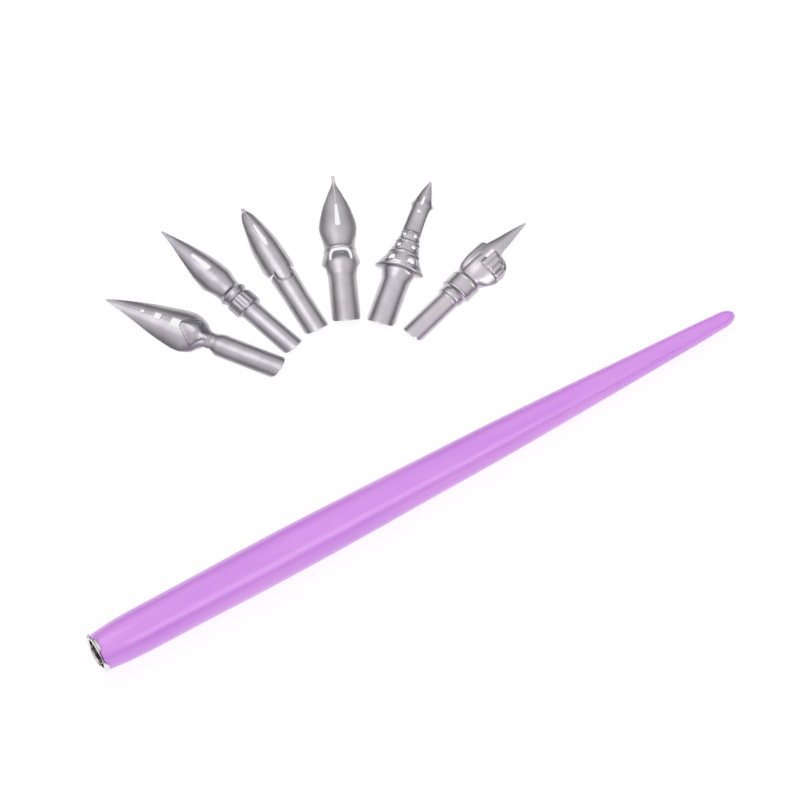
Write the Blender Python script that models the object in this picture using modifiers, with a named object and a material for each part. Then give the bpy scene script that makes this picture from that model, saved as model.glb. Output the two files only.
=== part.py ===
"""Dip pen set: a turned wooden nib holder with a sprung steel socket, and six loose steel nibs.

World frame: metres, +Z up, everything lies on the plane Z = 0. The holder's mouth points to -X
and its tail to +X; the nibs lie in a fan on the +Y side. All driving dimensions are millimetres.
"""

from math import asin, atan, cos, pi, radians, sin

import bmesh
import bpy
import numpy as np
from mathutils import Vector

MM = 0.001

# Where the mouth end of the holder's axis stands over the plane, so that the set is centred.
MOUTH_X = -81.68
MOUTH_Y = -41.41

# Holder shaft: stations run from the mouth (0) to the tail, radius at each.
HOLDER_LENGTH = 163.9
TURNED_SIDES = 32
BELLY_START = (46.0, 5.13)
BELLY_END = (88.0, 4.43)
SHAFT_FRONT = [(0.0, 3.86), (0.35, 4.12), (1.1, 4.31), (3.0, 4.52), (5.6, 4.76), (10.8, 4.93),
               (21.0, 4.96), (31.8, 5.07), (40.0, 5.14), BELLY_START]
SHAFT_REAR = [BELLY_END, (96.5, 4.25), (107.6, 3.93), (118.7, 3.55), (130.0, 3.12),
              (141.2, 2.69), (152.5, 2.24), (160.4, 1.86)]
TAIL_ROUND_STEPS = 4
BORE_RADIUS = 3.65
BORE_DEPTH = 12.6

# Socket: a pressed steel sleeve with a four-lobed flange, and a hub that carries four leaf springs.
SLEEVE_INNER = 3.30
SLEEVE_OUTER = 3.55
SLEEVE_BACK = 12.0
FLANGE_RADIUS = 4.08
FLANGE_BACK = 0.10
FLANGE_FRONT = 0.45
FLANGE_CHAMFER = 0.12
LOBE_COUNT = 4
SCALLOP_RADIUS = 1.3
SCALLOP_OFFSET = 5.12
LEAF_COUNT = 4
LEAF_RADIUS = 2.75
LEAF_SHEET = 0.28
LEAF_HALF_ANGLE = radians(28)
LEAF_TIP_DEPTH = 0.9
LEAF_BEND_DEPTH = 2.4
LEAF_TIP_LEAN = 0.45
LEAF_ROOT_DEPTH = 9.15
HINGE_DEPTH = 9.25
HUB_RING_DEPTH = 9.35
HUB_FACE_DEPTH = 9.75
HUB_BACK_DEPTH = 10.15
HUB_RADIUS = 3.20

# Nibs: one stamped sheet each.
NIB_SHEET = 0.25
REAR_ROUND = [(0.0, 0.25), (0.037, 0.37), (0.113, 0.62), (0.223, 0.83), (0.40, 0.94), (0.70, 1.0)]
SLIT_HALF = 0.05
TIP_HALF = 0.20
GRID_X = 2.2
GRID_Y = 1.3
EDGE_STEP = 1.6
MERGE = 1e-4

STEEL_BRIGHT = (0.74, 0.73, 0.75)
STEEL_DULL = (0.62, 0.60, 0.63)
LACQUER = (0.62, 0.30, 0.82)


def clear_scene():
    for thing in list(bpy.data.objects):
        bpy.data.objects.remove(thing)


def new_collection(name):
    group = bpy.data.collections.new(name)
    bpy.context.scene.collection.children.link(group)
    return group


def principled(name, colour, metallic, roughness):
    material = bpy.data.materials.new(name)
    material.use_nodes = True
    shader = material.node_tree.nodes["Principled BSDF"]
    shader.inputs["Base Color"].default_value = (*colour, 1.0)
    shader.inputs["Metallic"].default_value = metallic
    shader.inputs["Roughness"].default_value = roughness
    return material


def add_object(name, mesh, group, parent=None, material=None):
    thing = bpy.data.objects.new(name, mesh)
    group.objects.link(thing)
    thing.parent = parent
    if material:
        mesh.materials.append(material)
    return thing


def add_empty(name, group, parent=None, location=(0, 0, 0), rotation=(0, 0, 0)):
    empty = add_object(name, None, group, parent)
    empty.location = location
    empty.rotation_euler = rotation
    return empty


def track(stations, place):
    """Value at a place along (place, value) stations: a smooth curve with no overshoot."""
    xs = [x for x, _ in stations]
    ys = [y for _, y in stations]
    if place <= xs[0]:
        return ys[0]
    if place >= xs[-1]:
        return ys[-1]
    i = int(np.searchsorted(xs, place, side="right")) - 1
    rises = [(ys[k + 1] - ys[k]) / (xs[k + 1] - xs[k]) for k in range(len(xs) - 1)]

    def slope(k):
        if k in (0, len(xs) - 1):
            return rises[min(k, len(rises) - 1)]
        before, after = rises[k - 1], rises[k]
        return 0.0 if before * after <= 0 else 2 * before * after / (before + after)

    run = xs[i + 1] - xs[i]
    u = (place - xs[i]) / run
    start = ys[i] * (1 + 2 * u) * (1 - u) ** 2 + slope(i) * run * u * (1 - u) ** 2
    end = ys[i + 1] * u * u * (3 - 2 * u) + slope(i + 1) * run * u * u * (u - 1)
    return start + end


# ---------------------------------------------------------------- turned pieces


def turned(name, profile, group, parent, material, closed=False):
    """Turn a (radius, height) profile in millimetres about the local Z axis."""
    mesh = bpy.data.meshes.new(name)
    points = [(r * MM, 0, z * MM) for r, z in profile]
    edges = [(i, i + 1) for i in range(len(points) - 1)]
    if closed:
        edges.append((len(points) - 1, 0))
    mesh.from_pydata(points, edges, [])
    piece = add_object(name, mesh, group, parent, material)
    piece.rotation_euler = (0, 0, pi / TURNED_SIDES)
    screw = piece.modifiers.new("turn", "SCREW")
    screw.axis = "Z"
    screw.steps = TURNED_SIDES
    screw.render_steps = TURNED_SIDES
    screw.use_merge_vertices = True
    screw.merge_threshold = 1e-6
    screw.use_smooth_shade = True
    return piece


def shaft_profile():
    """From the bottom of the bore, out over the mouth and down to the rounded tail."""
    bore = [(0.0, -BORE_DEPTH), (BORE_RADIUS, -BORE_DEPTH), (BORE_RADIUS, 0.0)]
    front = [(r, -s) for s, r in SHAFT_FRONT]
    rear = [(r, -s) for s, r in SHAFT_REAR]
    tail_start, tail_radius = SHAFT_REAR[-1]
    tail_length = HOLDER_LENGTH - tail_start
    tail = []
    for step in range(1, TAIL_ROUND_STEPS):
        turn = step / TAIL_ROUND_STEPS * pi / 2
        tail.append((tail_radius * cos(turn), -tail_start - tail_length * sin(turn)))
    return bore + front + rear + tail + [(0.0, -HOLDER_LENGTH)]


def sleeve_profile():
    """Tube and flange in section, closed: up the inside, over the flange, down the outside."""
    return [
        (SLEEVE_INNER, -SLEEVE_BACK),
        (SLEEVE_INNER, FLANGE_FRONT - FLANGE_CHAMFER),
        (SLEEVE_INNER + FLANGE_CHAMFER, FLANGE_FRONT),
        (FLANGE_RADIUS - FLANGE_CHAMFER, FLANGE_FRONT),
        (FLANGE_RADIUS, FLANGE_FRONT - FLANGE_CHAMFER),
        (FLANGE_RADIUS, FLANGE_BACK),
        (SLEEVE_OUTER, FLANGE_BACK),
        (SLEEVE_OUTER, -SLEEVE_BACK),
    ]


def hub_profile():
    """Disc with a low ring on its front face, where the leaf springs are folded up."""
    ring_inner = LEAF_RADIUS - LEAF_SHEET / 2
    ring_outer = LEAF_RADIUS + LEAF_SHEET / 2
    return [
        (0.0, -HUB_FACE_DEPTH),
        (ring_inner, -HUB_FACE_DEPTH),
        (ring_inner, -HUB_RING_DEPTH),
        (ring_outer, -HUB_RING_DEPTH),
        (ring_outer, -HUB_FACE_DEPTH),
        (HUB_RADIUS, -HUB_FACE_DEPTH),
        (HUB_RADIUS, -HUB_BACK_DEPTH),
        (0.0, -HUB_BACK_DEPTH),
    ]


def scallop_cutters(group, parent):
    """Four upright cylinders that bite the flange between its lobes."""
    cutters = []
    for index in range(LOBE_COUNT):
        turn = (index + 0.5) * 2 * pi / LOBE_COUNT
        mesh = bpy.data.meshes.new(f"scallop_{index + 1}")
        bm = bmesh.new()
        bmesh.ops.create_cone(bm, cap_ends=True, segments=16, radius1=SCALLOP_RADIUS * MM,
                              radius2=SCALLOP_RADIUS * MM, depth=2 * MM)
        bm.to_mesh(mesh)
        bm.free()
        cutter = add_object(mesh.name, mesh, group, parent)
        cutter.location = (SCALLOP_OFFSET * cos(turn) * MM, SCALLOP_OFFSET * sin(turn) * MM, 0)
        cutter.hide_render = True
        cutter.display_type = "WIRE"
        cutters.append(cutter)
    return cutters


def leaf_spring(index, group, parent, material):
    """A strip of thin sheet, curved across, that stands on its fold and leans in at its tip."""
    turn = (index + 0.5) * 2 * pi / LEAF_COUNT
    hinge = add_empty(f"grip_leaf_{index + 1}_fold", group, parent,
                      (LEAF_RADIUS * cos(turn) * MM, LEAF_RADIUS * sin(turn) * MM, -HINGE_DEPTH * MM),
                      (0, 0, turn))
    mesh = bpy.data.meshes.new(f"grip_leaf_{index + 1}")
    bm = bmesh.new()
    rows = []
    middle = LEAF_RADIUS - LEAF_SHEET / 2
    for depth, lean in ((LEAF_ROOT_DEPTH, 0.0), (LEAF_BEND_DEPTH, 0.0), (LEAF_TIP_DEPTH, LEAF_TIP_LEAN)):
        row = []
        for step in range(-3, 4):
            across = LEAF_HALF_ANGLE * step / 3
            out = middle * cos(across) - LEAF_RADIUS - lean
            row.append(bm.verts.new((out * MM, middle * sin(across) * MM, (HINGE_DEPTH - depth) * MM)))
        rows.append(row)
    for low, high in zip(rows, rows[1:]):
        for k in range(len(low) - 1):
            bm.faces.new((low[k], low[k + 1], high[k + 1], high[k]))
    bm.to_mesh(mesh)
    bm.free()
    leaf = add_object(mesh.name, mesh, group, hinge, material)
    sheet = leaf.modifiers.new("sheet", "SOLIDIFY")
    sheet.thickness = LEAF_SHEET * MM
    sheet.offset = 1.0
    return leaf


def build_holder(group, cutters):
    """The holder lies on the straight stretch of its belly, so its tail end dips."""
    flat = cos(pi / TURNED_SIDES)
    slope = (BELLY_START[1] - BELLY_END[1]) / (BELLY_END[0] - BELLY_START[0])
    tilt = atan(slope * flat)
    mouth_height = flat * (BELLY_START[1] + slope * BELLY_START[0]) * cos(tilt)
    axis = add_empty("holder_axis", group, None, (MOUTH_X * MM, MOUTH_Y * MM, mouth_height * MM),
                     (0, tilt - pi / 2, 0))
    lacquer = principled("purple_lacquer", LACQUER, 0.0, 0.35)
    plated = principled("plated_steel", STEEL_BRIGHT, 1.0, 0.22)
    spring = principled("spring_steel", STEEL_DULL, 1.0, 0.3)
    turned("holder_shaft", shaft_profile(), group, axis, lacquer)
    sleeve = turned("socket_sleeve", sleeve_profile(), group, axis, plated, closed=True)
    for cutter in scallop_cutters(cutters, axis):
        bite = sleeve.modifiers.new("scallop", "BOOLEAN")
        bite.operation = "DIFFERENCE"
        bite.object = cutter
    turned("spring_hub", hub_profile(), group, axis, spring)
    for index in range(LEAF_COUNT):
        leaf_spring(index, group, axis, spring)


# ---------------------------------------------------------------- nibs
#
# Each nib is drawn along x from its rear end (0) to its tip, and across in half-widths seen from
# above. "radius" and "crown" are the bend of the sheet across and the height of its middle line.
# "sides" are runs of the edge; "right" gives runs for the other edge where the two differ.


def shank(length, half_width):
    """Edge of a shank bent to an arc, with its rear end cut round."""
    return [(x * half_width, y * half_width) for x, y in REAR_ROUND] + [(length, half_width)]


def rounded_hole(x, y, length, width, sides=8):
    """Oval hole centred on (x, y)."""
    ring = []
    for step in range(sides):
        turn = 2 * pi * (step + 0.5) / sides
        ring.append((x + length / 2 * cos(turn), y + width / 2 * sin(turn)))
    return ring


def arch_hole(x, y, length, width, sides=4):
    """Doorway with a flat foot and a round top that points to the tip."""
    half = width / 2
    ring = [(x, y - half)]
    for step in range(sides + 1):
        turn = pi * step / sides - pi / 2
        ring.append((x + length - half + half * cos(turn), y + half * sin(turn)))
    return ring + [(x, y + half)]


def mirrored(ring):
    return [(x, -y) for x, y in reversed(ring)]


def both(ring):
    return [ring, mirrored(ring)]


def spear_nib():
    length = 43.9
    vent = [(35.35, SLIT_HALF), (34.8, 0.55), (34.25, SLIT_HALF), (31.8, SLIT_HALF), (31.8, 0.8),
            (30.2, 0.8), (30.2, SLIT_HALF), (27.6, SLIT_HALF), (27.6, 1.0), (25.4, 1.0), (25.4, 0.0)]
    return {
        "rest": (71.25, 42.37, 124.25),
        "radius": [(15.5, 3.07), (18.2, 2.5), (20.6, 4.65), (24.0, 6.4), (30.0, 5.3), (35.0, 4.3),
                   (40.0, 3.25), (length, 2.7)],
        "crown": [(15.5, 2.05), (18.2, 1.75), (20.6, 2.6), (24.0, 2.95), (30.0, 2.55), (35.0, 2.0),
                  (40.0, 1.35), (length, 0.75)],
        "sides": [shank(15.4, 2.84), [(17.3, 2.1), (18.4, 2.1), (19.3, 2.8), (21.0, 4.3), (24.0, 5.25),
                  (30.0, 4.2), (35.0, 2.8), (40.0, 1.3), (length, TIP_HALF)]],
        "vent": vent,
    }


def fluted_collar_nib():
    length = 43.95
    vent = [(34.0, SLIT_HALF), (33.9, 0.42), (30.5, 0.62), (28.8, 0.74), (28.2, 0.5), (28.0, 0.0)]
    return {
        "rest": (76.50, 45.15, 103.4),
        "radius": [(14.6, 2.68), (15.3, 3.5), (18.6, 3.5), (19.2, 3.0), (20.4, 3.5), (21.6, 3.1),
                   (26.0, 4.15), (30.0, 4.0), (35.0, 3.2), (40.0, 2.3), (length, 1.9)],
        "crown": [(14.6, 1.85), (15.3, 2.6), (18.6, 2.6), (19.2, 2.15), (20.4, 2.65), (21.6, 2.2),
                  (26.0, 2.75), (30.0, 2.6), (35.0, 2.05), (40.0, 1.3), (length, 0.65)],
        "sides": [shank(14.6, 2.48), [(15.3, 3.28), (18.6, 3.28), (19.2, 2.8), (20.4, 3.3), (21.6, 2.9),
                  (26.0, 3.8)], [(30.0, 3.42), (35.0, 2.25), (40.0, 0.98), (length, TIP_HALF)]],
        "vent": vent,
    }


def tubular_nib():
    length = 37.0
    vent = [(31.5, SLIT_HALF), (31.4, 0.25), (28.0, 0.42), (26.5, 0.55), (25.2, 0.3), (24.6, 0.0)]
    return {
        "rest": (83.10, 46.12, 87.35),
        "radius": [(12.0, 3.05), (17.0, 3.15), (20.0, 3.6), (25.0, 3.5), (30.0, 2.9), (33.0, 2.4),
                   (35.2, 1.95), (length, 1.6)],
        "crown": [(12.0, 2.05), (17.0, 2.3), (20.0, 2.6), (25.0, 2.65), (30.0, 2.4), (33.0, 2.0),
                  (35.2, 1.55), (36.3, 1.2), (length, 1.25)],
        "sides": [shank(12.0, 2.83), [(17.3, 3.0), (17.7, 2.15)], [(17.94, 2.15), (18.14, 3.08)],
                  [(20.0, 3.4), (25.0, 3.22), (30.0, 2.38), (33.0, 1.73), (35.2, 1.03), (36.2, 0.45),
                   (length, 0.32)]],
        "vent": vent,
    }


def spade_nib():
    length = 39.2
    gap = [(16.2, 2.2), (16.2, 2.75), (18.3, 2.75), (19.3, 1.9), (19.3, -1.9), (18.3, -2.75),
           (16.2, -2.75), (16.2, -2.2), (18.1, -2.2), (18.8, -1.6), (18.8, 1.6), (18.1, 2.2)]
    return {
        "rest": (89.35, 44.56, 63.4),
        "radius": [(13.0, 3.4), (16.0, 4.7), (19.8, 3.7), (25.5, 5.6), (30.0, 5.0), (34.0, 3.8),
                   (38.2, 2.2), (length, 2.2)],
        "crown": [(13.0, 2.2), (16.0, 2.75), (19.8, 2.5), (25.5, 2.6), (30.0, 2.35), (34.0, 1.9),
                  (38.2, 1.15), (length, 1.4)],
        "sides": [shank(13.0, 3.14), [(14.6, 3.45), (16.0, 4.25)], [(18.0, 3.95), (20.2, 3.4), (25.5, 4.2),
                  (30.0, 3.25), (34.0, 1.65), (38.2, 0.32), (length, 0.34)]],
        "vent": [(31.1, SLIT_HALF), (31.0, 0.27), (25.6, 0.6), (25.2, 0.35), (25.0, 0.0)],
        "holes": [gap],
    }


def tower_nib():
    length = 40.4
    windows = both(arch_hole(16.8, 2.2, 1.4, 1.6)) + both(rounded_hole(21.1, 1.6, 0.9, 1.05))
    windows += both(rounded_hole(24.0, 1.15, 0.85, 0.8)) + [rounded_hole(31.0, 0.0, 0.8, 0.9)]
    return {
        "rest": (95.12, 40.39, 41.2),
        "radius": [(12.8, 3.45), (14.8, 4.6), (15.25, 6.9), (16.7, 6.4), (19.2, 4.8), (22.2, 3.8),
                   (25.0, 3.3), (31.0, 2.9), (35.0, 2.8), (length, 2.4)],
        "crown": [(12.8, 2.25), (15.0, 2.6), (15.7, 3.1), (19.2, 2.85), (25.0, 2.6), (31.0, 2.3),
                  (35.0, 1.8), (length, 0.8)],
        "sides": [shank(12.8, 3.2), [(14.8, 3.75), (15.3, 5.4)], [(16.1, 5.5), (16.7, 4.85), (19.2, 3.55),
                  (22.2, 2.7), (25.0, 2.15), (31.0, 2.0), (33.0, 2.25)], [(33.6, 2.5), (34.3, 2.0),
                  (37.5, 1.07), (length, TIP_HALF)]],
        "vent": [(35.7, SLIT_HALF), (35.5, 0.22), (33.6, 0.32), (33.0, 0.0)],
        "holes": windows,
    }


def hand_nib():
    length = 40.2
    return {
        "rest": (99.50, 34.56, 16.75),
        "radius": [(13.2, 2.75), (13.9, 3.25), (14.8, 3.25), (15.2, 2.95), (15.8, 3.85), (19.5, 3.85),
                   (20.2, 3.3), (21.2, 4.9), (22.2, 5.9), (25.0, 6.6), (29.0, 6.0), (34.0, 3.2), (length, 2.2)],
        "crown": [(13.2, 1.9), (13.9, 2.4), (14.8, 2.4), (15.2, 2.1), (15.8, 2.85), (19.5, 2.85),
                  (20.2, 2.5), (25.0, 3.0), (29.0, 2.75), (34.0, 1.85), (length, 0.7)],
        "sides": [shank(13.2, 2.55), [(13.9, 3.0), (14.8, 3.0), (15.2, 2.75), (15.8, 3.6), (19.5, 3.6)],
                  [(20.4, 3.1), (25.0, 3.85), (29.4, 3.95)], [(29.5, 2.4), (34.0, 1.55), (length, TIP_HALF)]],
        "right": [shank(13.2, 2.55), [(13.9, 3.0), (14.8, 3.0), (15.2, 2.75), (15.8, 3.6), (19.5, 3.6)],
                  [(20.2, 3.15), (22.0, 4.5), (24.0, 5.3), (26.0, 5.4)],
                  [(27.2, 5.0), (28.2, 4.5), (28.9, 3.3), (29.1, 2.2)], [(29.6, 1.9), (34.0, 1.2), (length, TIP_HALF)]],
        "vent": [(29.0, SLIT_HALF), (29.0, 0.42), (26.3, 0.42), (26.3, 0.0)],
    }


def developed(nib, x, half_width):
    """Width along the bent sheet for a half-width seen from above."""
    radius = track(nib["radius"], x)
    return radius * asin(min(1.0, half_width / radius))


def edge_points(nib, runs):
    """The edge of the flat blank from rear to tip, with smooth runs and sharp joins between them."""
    points = []
    for run in runs:
        steps = max(1, round((run[-1][0] - run[0][0]) / EDGE_STEP))
        places = sorted({x for x, _ in run} | set(np.linspace(run[0][0], run[-1][0], steps + 1)))
        for x in places:
            points.append((x, developed(nib, x, track(run, x))))
    return spread(points)


def spread(points):
    """Drop points that nearly repeat the one before, keeping the last."""
    kept = [points[0]]
    for point in points[1:]:
        if (Vector(point) - Vector(kept[-1])).length > 0.12:
            kept.append(point)
    kept[-1] = points[-1]
    return kept


def blank_outline(nib):
    """Closed outline of the flat blank: up one side, down the slit and vent, and back."""
    left = edge_points(nib, nib["sides"])
    right = edge_points(nib, nib.get("right", nib["sides"]))
    slit = [(left[-1][0], SLIT_HALF)] + nib["vent"]
    return left + slit + mirrored(slit)[1:] + mirrored(right)


def blank_mesh(name, rings):
    """Flat sheet in millimetres, its outline and holes filled as a 2D curve."""
    curve = bpy.data.curves.new(name, "CURVE")
    curve.dimensions = "2D"
    curve.fill_mode = "BOTH"
    curve.extrude = NIB_SHEET / 2
    for ring in rings:
        spline = curve.splines.new("POLY")
        spline.points.add(len(ring) - 1)
        for point, (x, y) in zip(spline.points, ring):
            point.co = (x, y, 0, 1)
        spline.use_cyclic_u = True
    flat = bpy.data.objects.new(f"{name}_blank", curve)
    bpy.context.scene.collection.objects.link(flat)
    graph = bpy.context.evaluated_depsgraph_get()
    mesh = bpy.data.meshes.new_from_object(flat.evaluated_get(graph))
    bpy.data.objects.remove(flat)
    mesh.name = name
    return mesh


def cut_along_grid(bm, x_lines, y_lines):
    """Cut the sheet along both sets of lines, then drop the fill's own diagonals."""
    for normal, places in (((1, 0, 0), x_lines), ((0, 1, 0), y_lines)):
        for place in places:
            everything = bm.verts[:] + bm.edges[:] + bm.faces[:]
            bmesh.ops.bisect_plane(bm, geom=everything, dist=MERGE, plane_no=normal,
                                   plane_co=Vector(normal) * place)
    bm.normal_update()

    def on_a_line(edge):
        a, b = (vert.co for vert in edge.verts)
        along_x = abs(a.x - b.x) < MERGE and min(abs(x_lines - a.x)) < 2 * MERGE
        along_y = abs(a.y - b.y) < MERGE and min(abs(y_lines - a.y)) < 2 * MERGE
        return along_x or along_y

    def inside_a_face(edge):
        if len(edge.link_faces) != 2:
            return False
        first, second = edge.link_faces
        return abs(first.normal.z) > 0.9 and first.normal.dot(second.normal) > 0.9

    diagonals = [edge for edge in bm.edges if inside_a_face(edge) and not on_a_line(edge)]
    bmesh.ops.dissolve_edges(bm, edges=diagonals, use_verts=True)


def form(nib, bm):
    """Bend the flat sheet to its radius and crown, and turn millimetres into metres."""
    for vert in bm.verts:
        x, across, through = vert.co
        radius = track(nib["radius"], x)
        crown = track(nib["crown"], x)
        turn = across / radius
        y = (radius + through) * sin(turn)
        z = crown - radius + (radius + through) * cos(turn)
        vert.co = (x * MM, y * MM, z * MM)


def build_nib(name, nib, group, material):
    mesh = blank_mesh(name, [blank_outline(nib)] + nib.get("holes", []))
    bm = bmesh.new()
    bm.from_mesh(mesh)
    bmesh.ops.remove_doubles(bm, verts=bm.verts, dist=MERGE)
    length = max(vert.co.x for vert in bm.verts)
    half = max(abs(vert.co.y) for vert in bm.verts)
    stations = {x for x, _ in nib["radius"] + nib["crown"]}
    x_lines = np.array(sorted(stations | set(np.arange(GRID_X, length, GRID_X))))
    y_lines = np.arange(-half + half % GRID_Y, half, GRID_Y)
    cut_along_grid(bm, x_lines, y_lines)
    bmesh.ops.triangulate(bm, faces=bm.faces)
    form(nib, bm)
    lowest = min(vert.co.z for vert in bm.verts)
    bmesh.ops.translate(bm, verts=bm.verts, vec=(0, 0, -lowest))
    bmesh.ops.recalc_face_normals(bm, faces=bm.faces)
    bm.to_mesh(mesh)
    bm.free()
    mesh.shade_smooth()
    mesh.set_sharp_from_angle(angle=radians(40))
    piece = add_object(name, mesh, group, None, material)
    x, y, heading = nib["rest"]
    piece.location = ((MOUTH_X + x) * MM, (MOUTH_Y + y) * MM, 0)
    piece.rotation_euler = (0, 0, radians(heading))


def main():
    clear_scene()
    group = new_collection("dip_pen_set")
    cutters = new_collection("cutters")
    build_holder(group, cutters)
    for maker in (spear_nib, fluted_collar_nib, tubular_nib, spade_nib, tower_nib, hand_nib):
        name = maker.__name__
        build_nib(name, maker(), group, principled(f"{name}_steel", STEEL_BRIGHT, 1.0, 0.28))


main()
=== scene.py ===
"""Looks of the dip pen set: a lacquered nib holder with a steel socket, and six pressed-steel nibs."""

from math import asin, atan, cos, pi, radians, sin

import bmesh
import bpy
import numpy as np
from mathutils import Matrix, Vector
from mathutils.kdtree import KDTree


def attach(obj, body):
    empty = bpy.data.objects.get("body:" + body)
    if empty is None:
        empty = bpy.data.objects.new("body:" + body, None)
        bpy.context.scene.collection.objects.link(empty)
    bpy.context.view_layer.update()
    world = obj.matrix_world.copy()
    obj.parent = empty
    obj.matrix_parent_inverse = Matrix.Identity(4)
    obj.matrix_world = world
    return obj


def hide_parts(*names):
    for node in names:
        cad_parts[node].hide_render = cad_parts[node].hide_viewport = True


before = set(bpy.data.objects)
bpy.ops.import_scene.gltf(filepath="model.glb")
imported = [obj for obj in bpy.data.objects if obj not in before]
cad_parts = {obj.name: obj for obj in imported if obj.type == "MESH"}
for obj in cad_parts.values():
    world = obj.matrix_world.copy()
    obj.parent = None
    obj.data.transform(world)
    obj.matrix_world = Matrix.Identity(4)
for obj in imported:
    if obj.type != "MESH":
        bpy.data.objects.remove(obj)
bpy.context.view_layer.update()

MM = 0.001

# The holder's mouth over the surface, and its turned shape: stations from the mouth, radius at each.
MOUTH_X = -81.68
MOUTH_Y = -41.41
HOLDER_LENGTH = 163.9
BELLY_START = (46.0, 5.13)
BELLY_END = (88.0, 4.43)
SHAFT_FRONT = [(0.35, 4.12), (1.1, 4.31), (3.0, 4.52), (5.6, 4.76), (10.8, 4.93), (21.0, 4.96),
               (31.8, 5.07), (40.0, 5.14), BELLY_START]
SHAFT_REAR = [BELLY_END, (96.5, 4.25), (107.6, 3.93), (118.7, 3.55), (130.0, 3.12),
              (141.2, 2.69), (152.5, 2.24), (160.4, 1.86)]
BELLY_FLAT = cos(pi / 32)
BORE_RADIUS = 3.65
BORE_DEPTH = 12.6
ROUND_SIDES = 112

# Socket: a pressed sleeve with a rim of four lobes, and a hub that carries four leaf springs.
SLEEVE_INNER = 3.30
SLEEVE_BACK = 12.0
LIP_SHEET = 0.22
LOBE_EDGE = (0.30, 0.72)
VALLEY_LAP = 0.16
LOBE_LAP = 1.25
LAP_BEND = 0.42
LAP_STEPS = 12
LEAF_COUNT = 4
LEAF_RADIUS = 2.75
LEAF_SHEET = 0.28
LEAF_HALF_ANGLE = radians(28)
LEAF_TIP_DEPTH = 0.9
LEAF_BEND_DEPTH = 2.4
LEAF_TIP_LEAN = 0.45
LEAF_ROOT_DEPTH = 9.15
HUB_RING_DEPTH = 9.35
HUB_FACE_DEPTH = 9.75
HUB_BACK_DEPTH = 10.15
HUB_RADIUS = 3.20

# Nibs: sheet, rounded edges, mesh spacing along and across, how far the polished edges reach in, and the
# reach and depth of the painted shade that darkens hollows.
NIB_SHEET = 0.25
REAR_ROUND = [(0.0, 0.25), (0.037, 0.37), (0.113, 0.62), (0.223, 0.83), (0.40, 0.94), (0.70, 1.0)]
EDGE_ROUND = 0.045
SLIT_HALF = 0.05
TIP_HALF = 0.16
GRID = 0.5
GRID_ACROSS = 0.27
FINE_GRID = 0.22
EDGE_POLISH = 0.28
HOLLOW_SHADE_REACH = 0.35
HOLLOW_SHADE_DEPTH = 0.12
RIM_STEP = 0.06
EDGE_STEP = 0.45
MERGE = 1e-4

# Camera: where it looks, from where, and its lens.
AIM = Vector((7.70, -19.43, 0.0)) * MM
VIEW_AZIMUTH = radians(-31.73)
VIEW_ELEVATION = radians(60.0)
VIEW_DISTANCE = 0.900
LENS = 182.1

# Lacquer colours.
LACQUER_LIGHT = (0.84, 0.36, 0.98)
LACQUER_DEEP = (0.73, 0.29, 0.94)
LACQUER_GRAIN = (0.62, 0.22, 0.88)

# Studio: the floor, the surround's brightness by height, and soft lights by place, size and brightness.
FLOOR_GLOW = 0.84
FLOOR_GAP = 0.12
SKY = [(0.0, 0.04), (0.26, 0.06), (0.42, 0.48), (0.75, 0.88), (1.0, 0.88)]
LIGHTS = [("front_light", (0.24, -0.92, 0.74), 0.5, 2.2), ("top_light", (-0.25, 0.45, 1.3), 0.8, 1.0)]


# ---------------------------------------------------------------- small tools


def track(stations, places):
    """Values at places along (place, value) stations: a smooth curve with no overshoot."""
    xs, ys = np.array(stations, dtype=float).T
    rises = np.diff(ys) / np.diff(xs)
    before, after = rises[:-1], rises[1:]
    turning = before * after <= 0
    total = np.where(turning, 1.0, before + after)
    inner = np.where(turning, 0.0, 2 * before * after / total)
    slopes = np.concatenate(([rises[0]], inner, [rises[-1]]))
    at = np.clip(places, xs[0], xs[-1])
    i = np.clip(np.searchsorted(xs, at, side="right") - 1, 0, len(xs) - 2)
    run = xs[i + 1] - xs[i]
    u = (at - xs[i]) / run
    start = ys[i] * (1 + 2 * u) * (1 - u) ** 2 + slopes[i] * run * u * (1 - u) ** 2
    end = ys[i + 1] * u * u * (3 - 2 * u) + slopes[i + 1] * run * u * u * (u - 1)
    return start + end


def line(stations, places):
    """Values at places along (place, value) stations joined by straight lines."""
    return np.interp(places, [x for x, _ in stations], [y for _, y in stations])


def ramp(value, low, high):
    """Smooth step from 0 at low to 1 at high."""
    u = np.clip((value - low) / (high - low), 0.0, 1.0)
    return u * u * (3 - 2 * u)


def band(value, low, high, soft):
    """1 between low and high, falling to 0 over soft outside them."""
    return ramp(value, low - soft, low) * (1 - ramp(value, high, high + soft))


def hill(value, centre, width):
    """Bell curve of height 1."""
    return np.exp(-(((value - centre) / width) ** 2))


def roof(value, half):
    """Straight-sided ridge: 1 in the middle, 0 from half outwards."""
    return np.maximum(0.0, 1 - np.abs(value) / half)


def dome(value, half):
    """Round-topped ridge: 1 in the middle, 0 from half outwards."""
    return np.sqrt(np.maximum(0.0, 1 - (value / half) ** 2))


def add_piece(name, mesh, material):
    piece = bpy.data.objects.new(name, mesh)
    bpy.context.scene.collection.objects.link(piece)
    mesh.materials.append(material)
    return piece


def settle(piece, body, slot, *nodes):
    """Tie a finished piece to its body and hide the CAD nodes it stands for; the finish passed as slot is not
    used.
    """
    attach(piece, body)
    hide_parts(*nodes)


def smooth(mesh, angle):
    mesh.shade_smooth()
    mesh.set_sharp_from_angle(angle=radians(angle))


# ---------------------------------------------------------------- materials


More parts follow.
